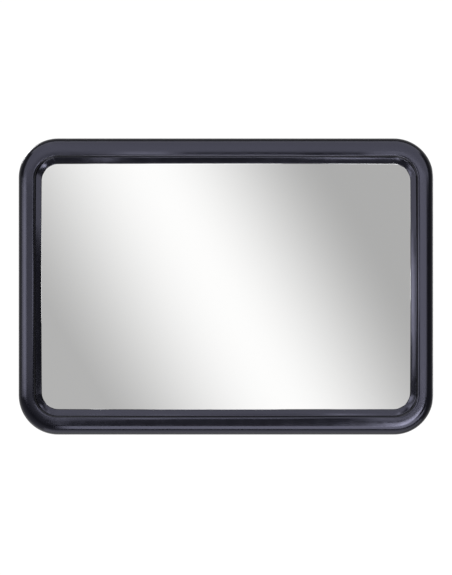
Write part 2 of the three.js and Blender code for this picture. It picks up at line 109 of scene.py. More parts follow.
FRAME_SCREWS = [f"frame_screw_{number:02d}" for number in range(1, 13)]
BRACKET_SCREWS = [f"bracket_screw_{number}" for number in range(1, 5)]
BRACKET_NUTS = [f"bracket_nut_{number}" for number in range(1, 5)]
FRAME_SCREW = {"shank": 0.0017, "length": 0.017, "head": 0.0036, "rise": 0.0023, "pitch": 0.0012}
BRACKET_SCREW = {"shank": 0.0025, "length": 0.0157, "head": 0.0045, "rise": 0.003, "pitch": 0.0008}
NUT_FLAT = 0.00398
POST_RADIUS = 0.0045

EYE_RADIUS, EYE_HALF = 0.012, 0.010
BOLT_RADIUS, BORE_RADIUS = 0.004, 0.0043
BOLT_HEAD_FLAT, BOLT_HEAD_HEIGHT = 0.0065, 0.0053
BOLT_THREAD_START, BOLT_PITCH = 0.012, 0.00125
INSERT_RADIUS, INSERT_LENGTH = 0.007, 0.012
KNOB_LOBES, KNOB_RADIUS, KNOB_LOBE_DEPTH = 6, 0.0164, 0.0015
KNOB_HUB_RADIUS, KNOB_HUB_HEIGHT = 0.0115, 0.006
EAR_RADIUS, EAR_THICKNESS, EAR_INNER_FACE = 0.013, 0.004, 0.0121
WALL_EAR_ROOT, CLEVIS_EAR_ROOT = 0.024, 0.020
WALL_PLATE_THICKNESS, CLEVIS_THICKNESS = 0.003, 0.004
WALL_PLATE_RADIUS, CLEVIS_RADIUS, STIFFENER_RADIUS = 0.010, 0.008, 0.010
WALL_HOLE_X, WALL_HOLE_Z, WALL_HOLE_RADIUS = 0.028, 0.048, 0.00325
PLATE_EDGE = 0.0005
WELD_RADIUS = 0.0022
BEAM_WIDE, BEAM_HIGH, BEAM_EDGE = 0.015, 0.016, 0.0025
POCKET_HIGH, POCKET_DEPTH, POCKET_INSET, POCKET_EDGE = 0.009, 0.004, 0.016, 0.002

CORNER_STEPS = 20
SIDE_STEPS = (40, 28)
SMOOTH_ANGLE = math.radians(32)
NOISE_RANGE = (0.3, 0.7)  # what a noise texture mostly stays within

VIEW_HEIGHT = 0.933  # height that the camera takes in at the mirror's rim
MIRROR_RIM_Y = -0.221
CAMERA_DISTANCE = 5.0
CAMERA_DROP = 0.0016
SENSOR = 36.0

PANEL_DISTANCE = 0.6  # from the frame's crest to the plane of the front panels
STUDIO_HALF = 1.15
STUDIO_TOP = 1.0
FLOOR_Z = -1.2

# The studio's bright band, as it lies on the mirror
BAND_SLOPE = 0.57  # how far it leans to the left as it rises
BAND_SHIFT = 0.0146  # how far left of the mirror's centre it runs
BAND_FADE = 0.308  # from its middle to the plain wall on its right
LEFT_RATE, LEFT_LIMIT = 0.88, 0.264  # its fade on the left is slower and stops short
BAND_STRENGTH, WALL_STRENGTH, BACKDROP_STRENGTH = 1.0922, 0.4589, 1.05

# The brighter rear and low left corner of the studio
REAR_RISE, REAR_GLOW = 3, 0.4
CORNER_X, CORNER_Z, CORNER_START, CORNER_GLOW = -0.75, -1.3, 0.75, 1.5

JOINTS = {joint["name"]: joint for joint in frame["joints"]}
PAN_PIVOT = Vector(JOINTS["pan"]["pos_m"])
TILT_PIVOT = Vector(JOINTS["tilt"]["pos_m"])

AHEAD, RIGHT, DOWN = Vector((0, -1, 0)), Vector((1, 0, 0)), Vector((0, 0, -1))

# Local Z of a round piece turned to each world axis
ALONG_Z = Matrix.Identity(4)
ALONG_X = Matrix.Rotation(math.pi / 2, 4, "Y")
ALONG_Y = Matrix.Rotation(-math.pi / 2, 4, "X")


# ------------------------------ material helpers

def new_material(name, colour, roughness, metallic=0.0):
    """A Principled material to build on."""
    material = bpy.data.materials.new(name)
    material.use_nodes = True
    inputs = shader_inputs(material)
    inputs["Base Color"].default_value = (*colour, 1)
    inputs["Roughness"].default_value = roughness
    inputs["Metallic"].default_value = metallic
    return material


def shader_inputs(material):
    return material.node_tree.nodes["Principled BSDF"].inputs


def noise_texture(material, scale, detail=4.0, stretch=(1, 1, 1)):
    """A noise texture in the piece's own coordinates. Scale is in waves per metre."""
    nodes, links = material.node_tree.nodes, material.node_tree.links
    place = nodes.new("ShaderNodeTexCoord")
    mapping = nodes.new("ShaderNodeMapping")
    mapping.inputs["Scale"].default_value = stretch
    texture = nodes.new("ShaderNodeTexNoise")
    texture.inputs["Scale"].default_value = scale
    texture.inputs["Detail"].default_value = detail
    links.new(place.outputs["Object"], mapping.inputs["Vector"])
    links.new(mapping.outputs["Vector"], texture.inputs["Vector"])
    return texture.outputs["Fac"]


def vary_colour(material, dark, light, *noise):
    """Blends the base colour between two colours by a noise texture."""
    nodes, links = material.node_tree.nodes, material.node_tree.links
    ramp = nodes.new("ShaderNodeValToRGB")
    for element, position, colour in zip(ramp.color_ramp.elements, NOISE_RANGE, (dark, light)):
        element.position = position
        element.color = (*colour, 1)
    links.new(noise_texture(material, *noise), ramp.inputs["Fac"])
    links.new(ramp.outputs["Color"], shader_inputs(material)["Base Color"])


def vary_roughness(material, low, high, *noise):
    """Varies the roughness between two values by a noise texture."""
    nodes, links = material.node_tree.nodes, material.node_tree.links
    spread = nodes.new("ShaderNodeMapRange")
    names = ("From Min", "From Max", "To Min", "To Max")
    for name, value in zip(names, (*NOISE_RANGE, low, high)):
        spread.inputs[name].default_value = value
    links.new(noise_texture(material, *noise), spread.inputs["Value"])
    links.new(spread.outputs["Result"], shader_inputs(material)["Roughness"])


def add_bump(material, height, strength, *noise):
    """Adds a noisy bump of a height in metres, on top of any bump already there."""
    nodes, links = material.node_tree.nodes, material.node_tree.links
    bump = nodes.new("ShaderNodeBump")
    bump.inputs["Distance"].default_value = height
    bump.inputs["Strength"].default_value = strength
    links.new(noise_texture(material, *noise), bump.inputs["Height"])
    normal = shader_inputs(material)["Normal"]
    if normal.is_linked:
        links.new(normal.links[0].from_socket, bump.inputs["Normal"])
    links.new(bump.outputs["Normal"], normal)


# ------------------------------ materials
#
# Each variation's values are followed by its noise: the scale, the detail and the stretch.

def glossy_frame_plastic():
    """Blue-black high-gloss moulding with faint flow waves and smudges."""
    material = new_material("gloss_blue_black", (0.0020, 0.0020, 0.0036), 0.16)
    shader_inputs(material)["Specular IOR Level"].default_value = 0.17
    shader_inputs(material)["Specular Tint"].default_value = (0.74, 0.74, 1.0, 1)
    vary_colour(material, (0.0016, 0.0016, 0.0030), (0.0025, 0.0025, 0.0044), 14, 3)
    vary_roughness(material, 0.13, 0.21, 55, 6)
    add_bump(material, 0.0006, 0.35, 18, 1)
    add_bump(material, 0.00001, 0.2, 500, 2)
    return material


def mirrored_acrylic():
    """Second-surface acrylic mirror: bright, with a trace of haze."""
    material = new_material("mirrored_acrylic", (0.90, 0.899, 0.893), 0.02, 1.0)
    vary_roughness(material, 0.015, 0.035, 9, 5)
    return material


def backing_paint():
    """Grey paint behind the mirror coating."""
    material = new_material("mirror_backing_paint", (0.20, 0.21, 0.22), 0.6)
    vary_colour(material, (0.17, 0.18, 0.19), (0.24, 0.25, 0.26), 60)
    add_bump(material, 0.00005, 0.5, 900)
    return material


def textured_shell_plastic():
    """Black moulded plastic with a fine spark texture."""
    material = new_material("textured_black_shell", (0.016, 0.017, 0.020), 0.45)
    vary_colour(material, (0.013, 0.014, 0.017), (0.022, 0.023, 0.027), 8)
    vary_roughness(material, 0.36, 0.52, 30, 6)
    add_bump(material, 0.00012, 0.6, 1400, 3)
    add_bump(material, 0.0008, 0.25, 9, 1)
    return material


def seal_rubber():
    material = new_material("seal_rubber", (0.008, 0.008, 0.009), 0.8)
    vary_roughness(material, 0.7, 0.9, 120)
    add_bump(material, 0.0001, 0.5, 1800)
    return material


@cache
def powder_coat():
    """Black powder coat on pressed steel."""
    material = new_material("black_powder_coat", (0.020, 0.021, 0.023), 0.4)
    vary_colour(material, (0.017, 0.018, 0.020), (0.027, 0.028, 0.030), 40)
    vary_roughness(material, 0.32, 0.48, 90, 5)
    add_bump(material, 0.00015, 0.5, 1100, 2)
    return material


def cast_paint():
    """Black paint over a sand-cast surface."""
    material = new_material("painted_casting", (0.022, 0.023, 0.025), 0.45)
    vary_colour(material, (0.018, 0.019, 0.021), (0.030, 0.031, 0.034), 60)
    vary_roughness(material, 0.36, 0.55, 110, 5)
    add_bump(material, 0.0004, 0.5, 450, 4)
    return material


@cache
def knob_plastic():
    material = new_material("satin_knob_plastic", (0.014, 0.014, 0.015), 0.35)
    vary_roughness(material, 0.28, 0.44, 80, 5)
    add_bump(material, 0.00006, 0.4, 1600, 2)
    return material


@cache
def zinc_plate():
    """Bright zinc plate with a faint blue and straw bloom."""
    material = new_material("zinc_plated_steel", (0.62, 0.63, 0.66), 0.3, 1.0)
    vary_colour(material, (0.56, 0.59, 0.65), (0.70, 0.69, 0.64), 160, 3)
    vary_roughness(material, 0.22, 0.4, 400, 5)
    add_bump(material, 0.00004, 0.4, 1500, 2, (1, 1, 6))
    return material


@cache
def turned_brass():
    material = new_material("turned_brass", (0.60, 0.42, 0.17), 0.3, 1.0)
    vary_roughness(material, 0.22, 0.42, 500, 4)
    add_bump(material, 0.00004, 0.5, 900, 2, (1, 1, 8))
    return material


@cache
def nylon():
    material = new_material("natural_nylon", (0.66, 0.64, 0.57), 0.45)
    shader_inputs(material)["Subsurface Weight"].default_value = 0.15
    shader_inputs(material)["Subsurface Radius"].default_value = (0.002, 0.002, 0.0015)
    vary_colour(material, (0.62, 0.60, 0.53), (0.70, 0.68, 0.62), 150)
    add_bump(material, 0.00005, 0.4, 1500)
    return material


def pale_floor():
    material = new_material("pale_floor", (0.80, 0.80, 0.79), 0.7)
    vary_colour(material, (0.78, 0.78, 0.77), (0.82, 0.82, 0.81), 3)
    return material


# ------------------------------ mesh helpers

def make_piece(name, points, faces, *materials):
    """A smooth-shaded mesh object with its doubles welded and its faces turned outwards."""
    mesh = bpy.data.meshes.new(name)
    mesh.from_pydata([Vector(point) for point in points], [], faces)
    build = bmesh.new()
    build.from_mesh(mesh)
    bmesh.ops.remove_doubles(build, verts=build.verts, dist=1e-7)
    loose = [edge for edge in build.edges if not edge.link_faces]
    bmesh.ops.delete(build, geom=loose, context="EDGES")
    bmesh.ops.recalc_face_normals(build, faces=build.faces)
    build.to_mesh(mesh)
    build.free()
    for material in materials:
        mesh.materials.append(material)
    piece = new_object(name, mesh)
    shade(piece)
    return piece


def new_object(name, data):
    """An object in the scene for a mesh, a curve, a light or a camera."""
    thing = bpy.data.objects.new(name, data)
    bpy.context.scene.collection.objects.link(thing)
    return thing


def shade(piece):
    piece.data.shade_smooth()
    piece.data.set_sharp_from_angle(angle=SMOOTH_ANGLE)


def loop_loft(rows, closed=True):
    """Points and faces of a loop of equal sections; closed joins the last to the first."""
    sides = len(rows[0])
    points = [point for row in rows for point in row]
    faces = []
    for i in range(len(rows) if closed else len(rows) - 1):
        here = i * sides
        after = ((i + 1) % len(rows)) * sides
        for j in range(sides):
            k = (j + 1) % sides
            faces.append((here + j, here + k, after + k, after + j))
    return points, faces


def stack(name, rings, *materials):
    """A solid skinned over a row of equal rings and closed at both ends."""
    count = len(rings[0])
    points, faces = loop_loft(rings, closed=False)
    faces.append(tuple(range(count)))
    faces.append(tuple(range(len(points) - count, len(points))))
    return make_piece(name, points, faces, *materials)


def lathe(name, profile, *materials, facets=64):
    """A turned piece about local Z from (radius, height) entries in order round its section.

    A radius may also be a function of the angle.
    """
    rows = []
    for step in range(facets):
        angle = 2 * math.pi * step / facets
        row = []
        for radius, height in profile:
            reach = radius(angle) if callable(radius) else radius
            row.append((reach * math.cos(angle), reach * math.sin(angle), height))
        rows.append(row)
    return make_piece(name, *loop_loft(rows), *materials)


def cylinder(name, radius, low, high, facets=48):
    return lathe(name, [(0, low), (radius, low), (radius, high), (0, high)], facets=facets)


def put(piece, pivot, turn=ALONG_Z):
    """Moves a piece's mesh from its local frame to a pivot, so that its object stays at the origin."""
    piece.data.transform(Matrix.Translation(pivot) @ turn)
    return piece


def merge(pieces):
    """Joins several mesh objects into the first as separate shells."""
    build = bmesh.new()
    for piece in pieces:
        build.from_mesh(piece.data)
    build.to_mesh(pieces[0].data)
    build.free()
    for piece in pieces[1:]:
        bpy.data.objects.remove(piece)
    return pieces[0]


def boolean(piece, tools, operation):
    """Cuts the tools out of a piece, or joins them to it, and removes them."""
    tool = merge(tools)
    modifier = piece.modifiers.new("boolean", "BOOLEAN")
    modifier.object = tool
    modifier.operation = operation
    modifier.solver = "EXACT"
    apply_modifiers(piece)
    bpy.data.objects.remove(tool)
    shade(piece)
    return piece


def apply_modifiers(piece):
    graph = bpy.context.evaluated_depsgraph_get()
    mesh = bpy.data.meshes.new_from_object(piece.evaluated_get(graph))
    piece.modifiers.clear()
    piece.data = mesh


def middles(nodes):
    """The middle of each CAD node's box."""
    return [sum(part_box(node), Vector()) / 2 for node in nodes]


def adopt(piece, body, slot, *nodes):
    """Hands a finished piece to the frame: puts it in its body and hides the CAD nodes it stands for. The
    slot, its finish, is not used.
    """
    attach(piece, body)
    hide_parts(*nodes)
    return piece


# ------------------------------ outlines

def circle(centre_x, centre_y, radius, steps=40):
    angles = [2 * math.pi * step / steps for step in range(steps)]
    return [Vector((centre_x + radius * math.cos(a), centre_y + radius * math.sin(a))) for a in angles]


def corner_arcs(wide, high, radius, steps):
    """The four corners of a rounded rectangle, each a list of points (x, z)."""
    arcs = []
    for turn, (side_x, side_z) in enumerate(((1, 1), (-1, 1), (-1, -1), (1, -1))):
        centre = Vector((side_x * (wide - radius), side_z * (high - radius)))
        arc = []
        for step in range(steps + 1):
            angle = (turn + step / steps) * math.pi / 2
            arc.append(centre + radius * Vector((math.cos(angle), math.sin(angle))))
        arcs.append(arc)
    return arcs


def rounded_rectangle(wide, high, radius):
    """Points (x, z) of a rounded rectangle, as many for any size, so that outlines pair up."""
    arcs = corner_arcs(wide, high, radius, CORNER_STEPS)
    points = []
    for turn, arc in enumerate(arcs):
        points.extend(arc)
        after = arcs[(turn + 1) % 4][0]
        steps = SIDE_STEPS[turn % 2]
        points.extend(arc[-1].lerp(after, step / steps) for step in range(1, steps))
    return points


def lens_outline(growth):
    reach = LENS_OVERLAP + growth
    return rounded_rectangle(OPENING_WIDE + reach, OPENING_HIGH + reach, OPENING_RADIUS + reach)


def lens_y(place):
    """Depth of the lens's front at a point (x, z)."""
    across = (place.x / OPENING_WIDE) ** 2
    up = (place.y / OPENING_HIGH) ** 2
    return LENS_LOW.y + LENS_SAG * (across + up)


def raised(place, y):
    return Vector((place.x, y, place.y))


# ------------------------------ lens, frame and seal

def build_lens():
    rings = 26
    rim = lens_outline(0)
    outlines = [[point * (ring / rings) for point in rim] for ring in range(1, rings + 1)]
    front = [[raised(p, lens_y(p)) for p in outline] for outline in outlines]
    rear = [[raised(p, lens_y(p) + LENS_THICKNESS) for p in outline] for outline in outlines]
    lens = stack("mirror_lens_fine", front + rear[::-1], mirrored_acrylic(), backing_paint())
    for face in lens.data.polygons:
        face.material_index = 1 if face.normal.y > 0.3 else 0
    return adopt(lens, "mirror_head", "mirror_acrylic", "mirror_lens")


def section_arc(centre, radius, start, end, steps):
    """Points (across, depth) of an arc, its angles in degrees."""
    points = []
    for step in range(steps + 1):
        angle = math.radians(start + (end - start) * step / steps)
        points.append((centre[0] + radius * math.cos(angle), centre[1] + radius * math.sin(angle)))
    return points


def frame_section():
    """The frame's section, as (across, depth, share of the lens's depth to add)."""
    tilt = math.radians(FACE_TILT)
    crest_y = FRAME_LOW.y
    face_rise = FACE_RADIUS * (1 - math.cos(tilt))
    face_half = FACE_RADIUS * math.sin(tilt)
    crest = ROLL_RADIUS * (1 - math.sin(tilt)) + face_half
    roll = (ROLL_RADIUS, crest_y + face_rise + ROLL_RADIUS * math.cos(tilt))
    face = (crest, crest_y + FACE_RADIUS)
    shoulder_across = crest + face_half - SHOULDER_RADIUS * math.sin(tilt)
    shoulder = (shoulder_across, crest_y + face_rise + SHOULDER_RADIUS * math.cos(tilt))
    wall_across = shoulder_across + SHOULDER_RADIUS
    inner_roll = ROLL_RADIUS - FRAME_WALL

    fixed = [(REAR_BEVEL[0], FRAME_HIGH.y), (0, FRAME_HIGH.y - REAR_BEVEL[1])]
    fixed += section_arc(roll, ROLL_RADIUS, 180, 270 - FACE_TILT, 18)
    fixed += section_arc(face, FACE_RADIUS, 270 - FACE_TILT, 270 + FACE_TILT, 6)[1:]
    fixed += section_arc(shoulder, SHOULDER_RADIUS, 270 + FACE_TILT, 360, 8)[1:]
    section = [(across, depth, 0.0) for across, depth in fixed]

    slope = math.radians(SLOPE)
    tip = (SECTION_WIDTH - TIP_BEVEL, -TIP_ABOVE_LENS - TIP_BEVEL)
    cove_across = wall_across + COVE_RADIUS
    slope_depth = tip[1] - (tip[0] - cove_across) * math.tan(slope)
    cove = (cove_across, slope_depth - COVE_RADIUS / math.cos(slope))
    following = section_arc(cove, COVE_RADIUS, 180, 90 + SLOPE, 8)
    following += [
        tip,
        (SECTION_WIDTH, -TIP_ABOVE_LENS),
        (SECTION_WIDTH, -LIP_ABOVE_LENS),
        (wall_across + 0.002, -LIP_ABOVE_LENS),
    ]
    section += [(across, depth, 1.0) for across, depth in following]

    inside = [(wall_across - FRAME_WALL, shoulder[1] + 0.001)]
    inside += [(shoulder_across - 0.001, crest_y + face_rise + FRAME_WALL)]
    inside += section_arc(roll, inner_roll, 270, 180, 8)
    inside += [(FRAME_WALL, FRAME_HIGH.y)]
    return section + [(across, depth, 0.0) for across, depth in inside]


def build_frame():
    section = frame_section()
    outer = rounded_rectangle(FRAME_HIGH.x, FRAME_HIGH.z, OUTER_RADIUS)
    inner = rounded_rectangle(OPENING_WIDE, OPENING_HIGH, OPENING_RADIUS)
    rows = []
    for start, end in zip(outer, inner):
        row = []
        for across, depth, share in section:
            place = start.lerp(end, across / SECTION_WIDTH)
            row.append(raised(place, depth + share * lens_y(place)))
        rows.append(row)
    moulding = make_piece("front_frame_fine", *loop_loft(rows), glossy_frame_plastic())

    posts = []
    pilot = FRAME_SCREW["shank"] + GAP
    post_low, post_high = FRAME_LOW.y + FRAME_WALL - 0.0005, FLANGE_Y - SHELL_WALL - GAP
    for place in middles(FRAME_SCREWS):
        profile = [(pilot, post_low), (POST_RADIUS, post_low), (POST_RADIUS, post_high), (pilot, post_high)]
        post = lathe("post", profile, facets=32)
        posts.append(put(post, Vector((place.x, 0, place.z)), ALONG_Y))
    merge([moulding] + posts)
    return adopt(moulding, "mirror_head", "frame_plastic", "front_frame")


def build_seal():
    outer = lens_outline(-RIM_INSET)
    inner = lens_outline(SEAL_INSET - LENS_OVERLAP)
    rows = []
    for start, end in zip(outer, inner):
        row = []
        for place, lift in ((start, 0), (end, 0), (end, 1), (start, 1)):
            row.append(raised(place, lens_y(place) - GAP - lift * SEAL_THICKNESS))
        nose = end + (end - start).normalized() * SEAL_BULGE
        row.insert(2, raised(nose, lens_y(nose) - GAP - SEAL_THICKNESS / 2))
        rows.append(row)
    seal = make_piece("lens_seal_fine", *loop_loft(rows), seal_rubber())
    return adopt(seal, "mirror_head", "seal_rubber", "lens_seal")


# ------------------------------ back shell

def mix(low, high, share):
    return low + share * (high - low)


def eased(share):
    return share * share * (3 - 2 * share)


def boss_outline(growth):
    return rounded_rectangle(BOSS_WIDE + growth, BOSS_HIGH + growth, BOSS_RADIUS + growth)


def shell_rings():
    """Outlines of the shell's rear, with their depths, from the boss's top to the flange's rim."""
    rings = [(boss_outline(-BOSS_FLAT), BOSS_Y)]
    slope_steps = 9
    for step in range(slope_steps + 1):
        share = step / slope_steps
        depth = mix(BOSS_Y, PANEL_Y, eased(share))
        rings.append((boss_outline(share * BOSS_FLARE), depth))
    bead_steps = 6
    for step in range(-bead_steps, bead_steps + 1):
        share = step / bead_steps
        growth = share * BEAD_HALF_WIDTH
        outline = rounded_rectangle(BEAD_WIDE + growth, BEAD_HIGH + growth, BEAD_RADIUS + growth)
        rings.append((outline, PANEL_Y + BEAD_RISE * (1 + math.cos(math.pi * share)) / 2))
    for step in range(slope_steps + 1):
        share = step / slope_steps
        outline = lens_outline(STEP_OVERLAP - (1 - share) * STEP_WIDTH)
        rings.append((outline, mix(PANEL_Y, FLANGE_Y, eased(share))))
    for inset, drop in ((RIM_EDGE, 0), (0.3 * RIM_EDGE, 0.3 * RIM_EDGE), (0, RIM_EDGE)):
        reach = -SHELL_RECESS - inset
        outline = rounded_rectangle(FRAME_HIGH.x + reach, FRAME_HIGH.z + reach, OUTER_RADIUS + reach)
        rings.append((outline, FLANGE_Y - drop))
    return rings


def support_wall():
    """The ring of the shell that carries the lens's rim from behind."""
    outer = lens_outline(-RIM_INSET)
    inner = lens_outline(-RIM_INSET - SHELL_WALL)
    foot = PANEL_Y - SHELL_WALL
    rows = []
    for start, end in zip(outer, inner):
        top = LENS_THICKNESS + GAP
        row = [raised(start, foot), raised(end, foot)]
        row += [raised(end, lens_y(end) + top), raised(start, lens_y(start) + top)]
        rows.append(row)
    return make_piece("support_wall", *loop_loft(rows))


def rib(start, end, across):
    """A tapered rib on the shell's front, between two points of the XZ plane."""
    foot = PANEL_Y - SHELL_WALL / 2
    crest = PANEL_Y - SHELL_WALL - RIB_HEIGHT
    rows = []
    for place in (start, end):
        row = []
        for depth, half in ((foot, RIB_THICKNESS / 2), (crest, 0.4 * RIB_THICKNESS)):
            row.append(raised(place - half * across, depth))
            row.append(raised(place + half * across, depth))
        rows.append([row[0], row[1], row[3], row[2]])
    return stack("rib", rows)


def build_shell():
    rings = shell_rings()
    rear = [[raised(p, depth) for p in outline] for outline, depth in rings]
    front = [[raised(p, depth - SHELL_WALL) for p in outline] for outline, depth in rings]
    shell = stack("back_shell_fine", front + rear[::-1], textured_shell_plastic())
    boolean(shell, [support_wall()], "UNION")

    ribs = []
    runs = (
        (Vector((1, 0)), BOSS_WIDE, OPENING_WIDE),
        (Vector((0, 1)), BOSS_HIGH, OPENING_HIGH),
    )
    for along, boss_reach, opening_reach in runs:
        for side in (-1, 1):
            start = along * side * (boss_reach + BOSS_FLARE / 2)
            end = along * side * (opening_reach + LENS_OVERLAP - 0.002)
            ribs.append(rib(start, end, along.orthogonal()))
    boolean(shell, ribs, "UNION")

    holes = []
    drill = 2 * SHELL_WALL
    for nodes, sizes, depth in (
        (FRAME_SCREWS, FRAME_SCREW, FLANGE_Y),
        (BRACKET_SCREWS, BRACKET_SCREW, BOSS_Y),
    ):
        for place in middles(nodes):
            hole = cylinder("hole", sizes["shank"] + SCREW_CLEARANCE, -drill, drill)
            holes.append(put(hole, Vector((place.x, depth, place.z)), ALONG_Y))
    boolean(shell, holes, "DIFFERENCE")
    return adopt(shell, "mirror_head", "shell_plastic", "back_shell")


# ------------------------------ screws, nuts and bolts

def hexagon(flat, limit):
    """A radius by angle: a hexagon of half width flat, turned down to a limit at its corners."""
    sector = math.pi / 3
    return lambda angle: min(limit, flat / math.cos(angle % sector - sector / 2))


def hexagon_profile(flat, low, high):
    """Entries of a lathe profile for a hexagon with turned corners, from low to high."""
    face = 0.94 * flat
    corner = flat / math.cos(math.pi / 6)
    chamfer = 0.58 * (corner - face)
    shares = (0, 0.35, 0.7, 1)
    limits = [hexagon(flat, mix(face, corner, share)) for share in shares]
    entries = [(limit, low + share * chamfer) for limit, share in zip(limits, shares)]
    entries += [(limit, high - share * chamfer) for limit, share in zip(limits[::-1], shares[::-1])]
    return entries


def thread_profile(core, crest, low, high, pitch):
    """Entries of a lathe profile for a thread, as rings from low to high."""
    turns = max(1, round((high - low) / pitch))
    step = (high - low) / turns
    entries = []
    for turn in range(turns):
        entries.append((core, low + turn * step))
        entries.append((crest, low + (turn + 0.5) * step))
    return entries


def pan_head_screw(sizes):
    """A cross-recessed pan head screw about local Z, its head resting on z = 0."""
    shank, length = sizes["shank"], sizes["length"]
    head, rise = sizes["head"], sizes["rise"]
    profile = [(0, -length), (0.5 * shank, -length + 0.4 * shank)]
    profile += thread_profile(0.74 * shank, shank, -length + shank, -0.001, sizes["pitch"])
    neck, neck_length, edge = 0.8 * shank, 0.0008, 0.0001
    profile += [(neck, -neck_length), (neck, 0), (head - edge, 0), (head, edge)]
    straight = 0.35 * rise
    for step in range(9):
        angle = math.radians(90 * step / 8)
        profile.append((head * math.cos(angle) ** 0.7, straight + (rise - straight) * math.sin(angle)))
    screw = lathe("screw", profile, zinc_plate())

    half, wing = 0.13 * head, 0.62 * head
    corners = [(wing, half), (half, half), (half, wing), (-half, wing), (-half, half), (-wing, half)]
    outline = [Vector(corner) for corner in corners]
    outline += [-point for point in outline]
    rows = []
    for height, share in ((0.25 * rise, 0.55), (1.1 * rise, 1.0)):
        rows.append([Vector((share * point.x, share * point.y, height)) for point in outline])
    return boolean(screw, [stack("recess", rows)], "DIFFERENCE")


def build_screws(sizes, nodes):
    """One screw for each node, turned by a different amount about its own axis."""
    pattern = pan_head_screw(sizes)
    seat_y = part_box(nodes[0])[1].y - sizes["rise"]
    for number, (node, place) in enumerate(zip(nodes, middles(nodes))):
        screw = new_object(node + "_fine", pattern.data.copy())
        spin = Matrix.Rotation(math.radians(37 * number), 4, "Z")
        put(screw, Vector((place.x, seat_y, place.z)), ALONG_Y @ spin)
        adopt(screw, "mirror_head", "zinc_steel", node)
    bpy.data.objects.remove(pattern)


def build_nuts():
    for node, place in zip(BRACKET_NUTS, middles(BRACKET_NUTS)):
        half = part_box(node)[1].y - place.y
        bore, chamfer = BRACKET_SCREW["shank"] + GAP, 0.0004
        profile = [(bore + chamfer, -half)]
        profile += hexagon_profile(NUT_FLAT, -half, half)
        profile += [(bore + chamfer, half), (bore, half - chamfer), (bore, chamfer - half)]
        nut = lathe(node + "_fine", profile, zinc_plate(), facets=72)
        put(nut, place, ALONG_Y)
        adopt(nut, "mirror_head", "zinc_steel", node)


# ------------------------------ pivots

def pivot_span(node, pivot, axis):
    """How far a node reaches along a pivot's axis, lowest and highest, and its radius."""
    low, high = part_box(node)
    return low[axis] - pivot[axis], high[axis] - pivot[axis], (high.y - low.y) / 2


def turned_ring(node, span, material, chamfer):
    """A chamfered ring about local Z, with the bolt's clearance hole."""
    low, high, radius = span
    bore = BORE_RADIUS
    profile = [(bore, low + chamfer), (bore + chamfer, low), (radius - chamfer, low)]
    profile += [(radius, low + chamfer), (radius, high - chamfer), (radius - chamfer, high)]
    profile += [(bore + chamfer, high), (bore, high - chamfer)]
    return lathe(node + "_fine", profile, material)


def pivot_bolt(node, span):
    """A hexagon-head bolt about local Z."""
    low, high, _ = span
    head_top = low + BOLT_HEAD_HEIGHT
    shoulder = 0.0003
    profile = [(0, low)]
    profile += hexagon_profile(BOLT_HEAD_FLAT, low, head_top - shoulder)
    profile += [(0.95 * BOLT_HEAD_FLAT, head_top - shoulder), (0.95 * BOLT_HEAD_FLAT, head_top)]
    profile += [(BOLT_RADIUS, head_top), (BOLT_RADIUS, BOLT_THREAD_START)]
    thread_end = high - 0.001
    profile += thread_profile(0.9 * BOLT_RADIUS, BOLT_RADIUS, BOLT_THREAD_START, thread_end, BOLT_PITCH)
    profile += [(0.8 * BOLT_RADIUS, high), (0, high)]
    return lathe(node + "_fine", profile, zinc_plate(), facets=72)


def lobed(radius, depth):
    """A radius by angle: a circle with the knob's lobes."""
    return lambda angle: radius + depth * math.cos(KNOB_LOBES * angle)


def pivot_knob(node, span):
    """A lobed hand knob about local Z, with a hub towards the bolt and a dished face."""
    base, top, _ = span
    grip = base + KNOB_HUB_HEIGHT
    socket = INSERT_RADIUS + GAP
    bore_end = base + INSERT_LENGTH + GAP
    edge = 0.0024
    profile = [(0, bore_end), (socket, bore_end), (socket, base + 0.0005), (socket + 0.0005, base)]
    profile += [(KNOB_HUB_RADIUS - 0.0008, base), (KNOB_HUB_RADIUS, base + 0.0008)]
    profile += [(KNOB_HUB_RADIUS, grip - 0.0008), (KNOB_HUB_RADIUS + 0.0008, grip)]
    for step in range(7):
        angle = math.radians(-90 + 90 * step / 6)
        across = KNOB_RADIUS - edge * (1 - math.cos(angle))
        profile.append((lobed(across, KNOB_LOBE_DEPTH), grip + edge * (1 + math.sin(angle))))
    for step in range(9):
        angle = math.radians(90 * step / 8)
        across = KNOB_RADIUS - 0.0003 - edge * (1 - math.cos(angle))
        depth = KNOB_LOBE_DEPTH * (1 - 0.3 * step / 8)
        profile.append((lobed(across, depth), top - edge * (1 - math.sin(angle))))
    dish = ((0.0102, 0), (0.0094, 0.0004), (0.0088, 0.0012), (0.0060, 0.0014), (0, 0.0014))
    profile += [(radius, top - depth) for radius, depth in dish]
    return lathe(node + "_fine", profile, knob_plastic(), facets=144)


def build_pivot(name, pivot, axis, turn, bodies, washers):
    """Bolt, washers, insert and knob of one pivot. Bodies are those of the bolt, eye and knob."""
    fixed, eye, turned = bodies

    def place(make, part, body, slot, *details):
        node = f"{name}_{part}"
        piece = make(node, pivot_span(node, pivot, axis), *details)
        adopt(put(piece, pivot, turn), body, slot, node)

    place(pivot_bolt, "bolt", fixed, "zinc_steel")
    place(turned_ring, "washer", fixed, "zinc_steel", zinc_plate(), 0.0002)
    for side in washers:
        place(turned_ring, f"friction_washer_{side}", eye, "washer_nylon", nylon(), 0.0003)
    place(turned_ring, "knob_insert", turned, "insert_brass", turned_brass(), 0.0005)
    place(pivot_knob, "knob", turned, "knob_plastic")


# ------------------------------ pressed plates and brackets

